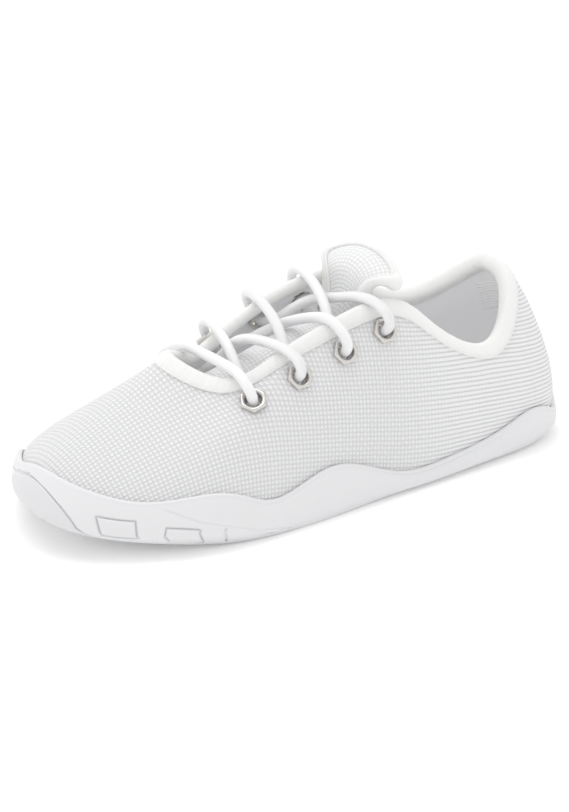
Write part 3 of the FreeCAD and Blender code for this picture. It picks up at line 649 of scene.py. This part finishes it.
def refine(field, factor):
    """Bilinear refinement of a grid by a whole factor."""
    rows, columns = field.shape
    fine_rows = np.linspace(0, rows - 1, (rows - 1) * factor + 1)
    fine_columns = np.linspace(0, columns - 1, (columns - 1) * factor + 1)
    low = np.minimum(fine_rows.astype(int), rows - 2)
    part = (fine_rows - low)[:, None]
    grid = field[low] * (1 - part) + field[low + 1] * part
    low = np.minimum(fine_columns.astype(int), columns - 2)
    part = (fine_columns - low)[None]
    return grid[:, low] * (1 - part) + grid[:, low + 1] * part


def fabric_uv(rows, columns, factor):
    """Distances along both sets of yarns over the whole upper, solved coarsely and refined."""
    shares, heights = np.meshgrid(np.linspace(0, 1, columns), np.linspace(0, 1, rows))
    points = upper(shares, heights)
    level, upright = cloth_directions(points, upper_normal(shares, heights), shares)
    u = lay_cloth(points, level)
    v = lay_cloth(points, upright)
    return np.stack([refine(u, factor), refine(v, factor)], -1)


FACTOR = 4
COARSE_ROWS = 31
COARSE_COLUMNS = 181


def add_upper():
    """The woven outer, slightly uneven, with a soft puckering along the binding."""
    uv = fabric_uv(COARSE_ROWS, COARSE_COLUMNS, FACTOR)
    rows, columns = uv.shape[:2]
    t, v = np.meshgrid(np.linspace(0, 1, columns), np.linspace(0, 1, rows))
    ripple = np.sin(t * 260) * 0.12 * smooth(0.7, 0.95, v)
    sag = np.sin(t * 37 + 1) * np.sin(v * 9) * 0.15
    points = layer(t, v, ripple + sag)
    piece = grid_piece("upper_skin", points, WEAVE, uv=uv, drop=in_eyelet, flip=True)
    rear = piece.data.attributes.new("rear", "FLOAT", "POINT")
    share = 1 - smooth(72, 118, points[..., 0].reshape(-1))
    rear.data.foreach_set("value", share.astype(np.float32))
    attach(piece, "shoe")
    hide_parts("upper_fabric", "toe_puff", "heel_counter", "collar_foam")


def add_lining():
    t, v = np.meshgrid(np.linspace(0, 1, 361)[:-1], np.linspace(0, 1, 70))
    piece = grid_piece("lining_skin", layer(t, v, -inside_depth(t, v)), LINING, wrap_columns=True,
                       drop=in_eyelet)
    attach(piece, "shoe")
    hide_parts("upper_lining", "eyestay_lateral", "eyestay_medial")


def binding_point(t, down, out):
    """Point of the topline binding: distance down from the edge of the upper, and out from its face."""
    rate = np.linalg.norm(upper(t, 1) - upper(t, 0.9), axis=-1) / 0.1
    v = 1 - np.maximum(down, 0) / rate
    up = unit(upper(t, 1) - upper(t, 0.99))
    return layer(t, v, out) + up * np.maximum(-down, 0)[..., None]


# rows of the binding from its lower outer edge over the topline to its lower inner edge:
# distance down from the topline, share of the way from the outer to the inner side, and swell
BINDING_SECTION = [
    (6.2, 0.05, -0.2), (6.5, 0.0, 0.4), (6.35, 0.0, 0.85), (6.0, 0.0, 0.98), (5.7, 0.0, 0.72),
    (5.3, 0.0, 0.95), (4.4, 0.0, 1.2), (3.0, 0.0, 1.35), (1.6, 0.0, 1.4), (0.5, 0.0, 1.3),
    (-0.4, 0.04, 1.1), (-1.0, 0.14, 0.8), (-1.45, 0.3, 0.5), (-1.6, 0.5, 0.2), (-1.45, 0.7, 0.3),
    (-1.0, 0.86, 0.6), (-0.3, 0.96, 0.85), (0.7, 1.0, 1.05), (2.2, 1.0, 1.15), (3.8, 1.0, 1.1),
    (5.2, 1.0, 0.85), (5.7, 1.0, 0.6), (5.9, 1.0, 0.2), (5.7, 0.97, -0.2),
]


def add_binding():
    t = np.linspace(0, 1, 721)[:-1]
    rows = []
    pucker = np.sin(t * 2 * math.pi * 150) * 0.05 + np.sin(t * 2 * math.pi * 61 + 1) * 0.05
    for down, share, puff in BINDING_SECTION:
        inner = -inside_depth(t, np.ones_like(t))
        swell = puff * (1 + pucker)
        out = mix(0.0, inner, share) + np.where(share > 0.5, -swell, swell)
        rows.append(binding_point(t, 0 * t + down, out))
    piece = grid_piece("topline_binding_tape", np.array(rows), BINDING, wrap_columns=True, flip=True)
    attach(piece, "shoe")
    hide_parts("topline_binding")


def add_heel_patch():
    """Ribbed patch inside the heel, thinning out to nothing at its rim."""
    t, v = np.meshgrid(np.linspace(-PATCH_SHARE, PATCH_SHARE, 61), np.linspace(PATCH_LOW, PATCH_HIGH, 31))
    from_sides = (PATCH_SHARE - np.abs(t)) / 0.004
    from_ends = np.minimum(v - PATCH_LOW, PATCH_HIGH - v) / 0.02
    thick = PATCH_THICKNESS * smooth(0, 1, np.minimum(from_sides, from_ends))
    piece = grid_piece("heel_patch_textile", layer(t, v, -inside_depth(t, v) - thick), RIBBED)
    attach(piece, "shoe")
    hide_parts("heel_lining_patch")


# ---------------------------------------------------------------- tongue

tongue_x = open_spline([p[0] for p in TONGUE_LINE])
tongue_z = open_spline([p[1] for p in TONGUE_LINE])
tongue_width = open_spline(TONGUE_WIDTH)
tongue_crown = open_spline(TONGUE_CROWN)
tongue_tilt = open_spline(TONGUE_TILT)


def tongue_reach(s):
    """How far up the tongue runs at a share s of its half width, rounded at the top corners."""
    bulge = 1 - np.sqrt(np.clip(1 - np.minimum(np.abs(s), 0.995)**2.6, 0, None))
    return 1 - TONGUE_CORNER * bulge


def tongue_base(u, s):
    """Outer face of the tongue: u from its sewn front end to its top, s across from -1 to 1."""
    drop = tongue_crown(u) * s * s + tongue_tilt(u) * s
    return np.stack([tongue_x(u), s * tongue_width(u), tongue_z(u) - drop], -1)


def tongue_point(u, s, depth):
    """Point the given depth under the tongue's outer face."""
    step = 0.004
    along = tongue_base(np.minimum(u + step, 1), s) - tongue_base(np.maximum(u - step, 0), s)
    across = tongue_base(u, s + step) - tongue_base(u, s - step)
    normal = unit(np.cross(across, along))
    normal = normal * np.where(normal[..., 2:] < 0, -1, 1)
    return tongue_base(u, s) - normal * np.asarray(depth)[..., None]


def tongue_thickness(s):
    return 1.9 + 3.6 * (1 - 0.7 * np.abs(s)**3)


def add_tongue_face(name, depth, material, nodes, flip):
    """One face of the tongue, just inside its binding, at a depth given by the share s."""
    q, s = np.meshgrid(np.linspace(0, 1, 201), np.linspace(-1, 1, 91), indexing="ij")
    s_in = s * 0.99
    points = tongue_point(q * tongue_reach(s), s_in, depth(s_in))
    piece = grid_piece(name, points, material, flip=flip)
    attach(piece, "tongue")
    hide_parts(*nodes)
    return piece


def tongue_edge(p, inward, share, offset):
    """Point near the tongue's edge; p runs from the lateral side round the top to the medial side."""
    s = np.where(p < 0.25, 1.0, np.where(p > 0.75, -1.0, np.cos(math.pi * (p - 0.25) / 0.5)))
    corner = tongue_reach(np.ones_like(p))
    u = np.where(p < 0.25, mix(0.6, corner, p / 0.25), mix(corner, 0.6, (p - 0.75) / 0.25))
    u = np.where((p >= 0.25) & (p <= 0.75), tongue_reach(s), u)
    pull_u = 0.6 - u
    pull_s = -s
    there = tongue_base(u + pull_u * 0.02, s + pull_s * 0.02)
    rate = np.linalg.norm(there - tongue_base(u, s), axis=-1) / 0.02
    k = inward / rate
    s = s + pull_s * k
    return tongue_point(np.minimum(u + pull_u * k, 1), s, share * tongue_thickness(s) + offset)


# rows of the tongue binding from its outer face round the edge to its inner face:
# distance in from the edge, share of the tongue's thickness, and offset from there
TONGUE_SECTION = [
    (6.2, 0, -0.1), (6.3, 0, -0.9), (6.0, 0, -1.35), (5.6, 0, -1.4), (5.2, 0, -1.15), (4.6, 0, -1.45),
    (3.4, 0, -1.75), (2.0, 0, -1.8), (0.8, 0, -1.5), (-0.3, 0.03, -1.05), (-1.0, 0.15, -0.4),
    (-1.4, 0.35, 0), (-1.45, 0.6, 0), (-1.1, 0.85, 0.2), (-0.4, 0.97, 0.8), (0.8, 1, 1.2),
    (3.0, 1, 1.35), (5.4, 1, 1.1), (5.9, 1, 0.1),
]


def add_tongue():
    outer = add_tongue_face("tongue_fabric", np.zeros_like, TONGUE_WEAVE, ["tongue_outer"],
                            False)
    add_tongue_face("tongue_backing", tongue_thickness, LINING, ["tongue_lining", "tongue_foam"],
                    True)
    p = np.linspace(0, 1, 241)
    rows = [tongue_edge(p, a, b, c) for a, b, c in TONGUE_SECTION]
    piece = grid_piece("tongue_binding_tape", np.array(rows), BINDING, flip=True)
    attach(piece, "tongue")
    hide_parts("tongue_binding")


# ---------------------------------------------------------------- sole

# lines cut in the sole wall, as (t, w) points
POD_LINES = [
    [(0.433, 1.51), (0.411, 1.52), (0.405, 0.93), (0.424, 0.96), (0.433, 1.51)],
    [(0.392, 1.26), (0.372, 1.12), (0.368, 0.38), (0.388, 0.62), (0.392, 1.26)],
]
UPRIGHT_LINE = [(0.355, 1.09), (0.352, 0.33)]
TRIANGLE = [(0.318, 0.36), (0.3255, 0.38), (0.3215, 0.55), (0.318, 0.36)]
FOAM_LINE = [
    (0.398, 1.84), (0.388, 1.61), (0.375, 1.36), (0.3565, 1.2), (0.337, 1.075), (0.318, 0.775),
    (0.297, 0.05),
]
TOE_LINE = [
    (0.52, 1.8), (0.511, 1.77), (0.498, 1.76), (0.486, 1.7), (0.477, 1.65), (0.467, 1.55),
    (0.4585, 1.44), (0.449, 1.26), (0.4416, 1.05), (0.434, 0.7), (0.428, 0.3),
]
MEDIAL_TOE_LINE = [(1.02 - t, w) for t, w in TOE_LINE]
# each line with its width and depth in millimetres
SOLE_LINES = [
    (POD_LINES[0], 0.85, 0.8), (POD_LINES[1], 0.85, 0.8), (UPRIGHT_LINE, 0.7, 0.7),
    (TRIANGLE, 0.3, 0.25), (FOAM_LINE, 0.35, 0.2), (TOE_LINE, 0.8, 0.7),
    (MEDIAL_TOE_LINE, 0.8, 0.7),
]


def trace(line):
    """Closely spaced points of a line on the sole wall."""
    spots = []
    for start, stop in zip(line, line[1:]):
        for share in np.linspace(0, 1, 60, endpoint=False):
            spots.append((mix(start[0], stop[0], share), mix(start[1], stop[1], share)))
    spots.append(line[-1])
    spots = np.array(spots)
    return wall(spots[:, 0], spots[:, 1])


def nearest(points, marks):
    """Distance from each point to the closest mark."""
    best = np.full(len(points), 1e9)
    box_low = marks.min(0) - 2
    box_high = marks.max(0) + 2
    near = np.all((points > box_low) & (points < box_high), axis=1)
    chosen = points[near]
    for start in range(0, len(chosen), 4000):
        part = chosen[start:start + 4000]
        gap = np.linalg.norm(part[:, None] - marks[None], axis=-1).min(1)
        chosen_index = np.flatnonzero(near)[start:start + 4000]
        best[chosen_index] = gap
    return best


def sole_columns():
    """Stations round the sole, closer together where the cut lines are."""
    fine = np.linspace(0.28, 0.58, 900, endpoint=False)
    coarse = np.linspace(0.58, 1.28, 560, endpoint=False)
    return np.concatenate([fine, coarse])


def add_sole_cup():
    """The midsole cup: wall, rounded wavy lip and the inside of the lip."""
    t = sole_columns()
    w = np.concatenate([np.linspace(0.02, 1.0, 50), np.linspace(1.0, 2.0, 62)[1:]])
    shares, levels = np.meshgrid(t, w)
    points = wall(shares, levels)
    normals = wall_normal(shares, np.minimum(levels, 1.99))
    depth = np.full(points.shape[:2], -0.08)
    for line, width, deep in SOLE_LINES:
        gap = nearest(points.reshape(-1, 3), trace(line)).reshape(depth.shape)
        depth = np.maximum(depth, deep * (1 - smooth(width * 0.35, width, gap)))
    points = points - normals * depth[..., None]
    lip_rows = []
    for above, out in ((-0.3, 2.5), (0.15, 2.35), (0.5, 2.0), (0.72, 1.5), (0.78, 1.0), (0.65, 0.55),
                       (0.35, 0.25), (-0.3, 0.12), (-1.5, 0.05)):
        lip_rows.append(layer(t, v_at_height(t, lip_height(t) + above), out))
    points = np.concatenate([points, np.array(lip_rows)])
    piece = grid_piece("sole_cup", points, FOAM, wrap_columns=True, flip=True)
    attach(piece, "shoe")
    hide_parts("midsole")


def pad_piece(name, place, node, rows, columns, proud, rim, material):
    """Rubber panel lying on the sole wall with rounded edges; place(p, q) gives (t, w)."""
    p, q = np.meshgrid(np.linspace(0, 1, columns), np.linspace(0, 1, rows))
    shares, levels = place(p, q)
    base = wall(shares, levels)
    edge = np.minimum(np.minimum(p, 1 - p) * columns, np.minimum(q, 1 - q) * rows) / rim
    lift = mix(-0.5, proud, np.sqrt(np.clip(1 - (1 - np.clip(edge, 0, 1))**2, 0, 1)))
    points = base + wall_normal(shares, levels) * lift[..., None]
    piece = grid_piece(name, points, material)
    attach(piece, "shoe")
    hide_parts(node)


def pod_place(line):
    """Place on the wall inside a pod's four corners."""
    upper_front, upper_back, lower_back, lower_front = line[:4]

    def place(p, q):
        low_t = mix(lower_front[0], lower_back[0], p)
        low_w = mix(lower_front[1], lower_back[1], p)
        high_t = mix(upper_front[0], upper_back[0], p)
        high_w = mix(upper_front[1], upper_back[1], p)
        return mix(low_t, high_t, q), mix(low_w, high_w, q)

    return place


def toe_place(p, q):
    """Place on the wall inside the toe cap, which is low at both ends and high over the toe."""
    along = (1 - np.cos(math.pi * p)) / 2
    crest = np.sin(math.pi * along)**0.45
    return mix(0.43, 0.57, along), mix(0.12, 0.2 + 1.56 * crest, q)


def add_sole():
    add_sole_cup()
    pad_piece("toe_cap_rubber", toe_place, "toe_guard", 60, 180, 0.25, 4, TOE_RUBBER)
    for number, line in enumerate(POD_LINES, start=1):
        node = "outsole_pod_%d" % number
        pad_piece("sole_pod_%d" % number, pod_place(line), node, 40, 50, 0.2, 6, RUBBER)
    paint(RUBBER, "outsole")
    paint(BOARD, "insole_board")


# ---------------------------------------------------------------- eyelets


def add_eyelets():
    """Hexagonal cast rings: flat sides, bevelled top, rolled into the bore."""
    # share of the way out from the bore, how round the outline is there, and the height
    profile = [
        (1.0, 0.0, -0.15), (1.0, 0.0, 0.9), (1.0, 0.0, 1.45), (0.93, 0.0, 1.8), (0.8, 0.1, 2.0),
        (0.55, 0.4, 2.08), (0.3, 0.75, 2.0), (0.12, 1.0, 1.8), (0.03, 1.0, 1.5), (0.0, 1.0, 1.0),
        (0.0, 1.0, -3.4),
    ]
    angles = np.linspace(0, 2 * math.pi, 97)[:-1]
    folded = np.mod(angles, math.pi / 3) - math.pi / 6
    sides = np.minimum(EYELET_FLAT / np.cos(folded), EYELET_CORNER)
    for side_name, number, centre, normal in EYELETS:
        turn = Vector((0, 0, 1)).rotation_difference(Vector(normal))
        across = np.array(turn @ Vector((1, 0, 0)))
        other = np.array(turn @ Vector((0, 1, 0)))
        rows = []
        for share, roundness, height in profile:
            outer = mix(sides, EYELET_ROUND, roundness)
            radius = mix(EYELET_BORE, outer, share)
            ring = np.outer(radius * np.cos(angles), across) + np.outer(radius * np.sin(angles), other)
            rows.append(centre + ring + normal * height)
        name = "%s_%d" % (side_name, number)
        piece = grid_piece("eyelet_ring_" + name, np.array(rows), NICKEL, wrap_columns=True)
        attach(piece, "shoe")
        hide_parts("eyelet_" + name)
        paint(NICKEL, "eyelet_washer_" + name)


# ---------------------------------------------------------------- lace


def smooth_line(name, route):
    """The points of a smooth line that has the route as its control points, in metres."""
    curve = bpy.data.curves.new(name, "CURVE")
    curve.dimensions = "3D"
    curve.resolution_u = 14
    spline = curve.splines.new("NURBS")
    spline.points.add(len(route) - 1)
    for point, spot in zip(spline.points, route):
        point.co = (spot[0] * MM, spot[1] * MM, spot[2] * MM, 1)
    spline.order_u = 3
    spline.use_endpoint_u = True
    holder = bpy.data.objects.new(name, curve)
    bpy.context.scene.collection.objects.link(holder)
    mesh = bpy.data.meshes.new_from_object(holder)
    points = [vertex.co.copy() for vertex in mesh.vertices]
    bpy.data.meshes.remove(mesh)
    bpy.data.objects.remove(holder)
    return points


def tube_points(path, radius, around):
    """Rings of points round a path, carried along without twist; all in millimetres."""
    path = np.array([[c / MM for c in p] for p in path])
    forward = unit(np.gradient(path, axis=0))
    across = unit(np.cross(forward[0], (0, 0, 1)))
    angles = np.linspace(0, 2 * math.pi, around + 1)[:-1]
    rows = []
    for spot, ahead in zip(path, forward):
        across = across - ahead * (across @ ahead)
        across = across / np.linalg.norm(across)
        other = np.cross(ahead, across)
        ring = np.outer(np.cos(angles), across) + np.outer(np.sin(angles), other)
        rows.append(spot + ring * radius)
    return np.array(rows) + (LENGTH_SHIFT, WIDTH_SHIFT, 0)


def add_lace():
    path = smooth_line("lace_line", LACE_ROUTE)
    points = tube_points(path, LACE_DIAMETER / MM / 2, 20)
    piece = grid_piece("lace", points, LACE, wrap_columns=True)
    paint(AGLET, "aglet_1", "aglet_2")
    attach(piece, "shoe")
    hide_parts("shoelace")


# ---------------------------------------------------------------- light and floor


def add_light(name, place, aim, size, power):
    data = bpy.data.lights.new(name, "AREA")
    data.shape = "DISK"
    data.size = size
    data.energy = power
    light = bpy.data.objects.new(name, data)
    light.location = place
    light.rotation_euler = (Vector(aim) - Vector(place)).to_track_quat("-Z", "Y").to_euler()
    bpy.context.scene.collection.objects.link(light)


def add_studio():
    size = 6.0
    shader = Shader("floor", (0.9, 0.9, 0.9), 0.9, Emission_Color=(1, 1, 1, 1), Emission_Strength=0.12)
    mesh = bpy.data.meshes.new("floor")
    mesh.from_pydata([(-size, -size, 0), (size, -size, 0), (size, size, 0), (-size, size, 0)], [],
                     [(0, 1, 2, 3)])
    mesh.materials.append(shader.material)
    floor = bpy.data.objects.new("floor", mesh)
    bpy.context.scene.collection.objects.link(floor)
    world = bpy.context.scene.world or bpy.data.worlds.new("world")
    bpy.context.scene.world = world
    world.use_nodes = True
    back = world.node_tree.nodes["Background"]
    back.inputs["Color"].default_value = (1, 1, 1, 1)
    back.inputs["Strength"].default_value = 1.02
    add_light("key", (0.1, -0.5, 1.5), (0, 0, 0.04), 1.4, 8)
    bpy.context.scene.view_settings.view_transform = "Standard"


add_upper()
add_lining()
add_binding()
add_heel_patch()
add_tongue()
add_sole()
paint(SOCKLINER, "sockliner")
add_eyelets()
add_lace()
add_studio()
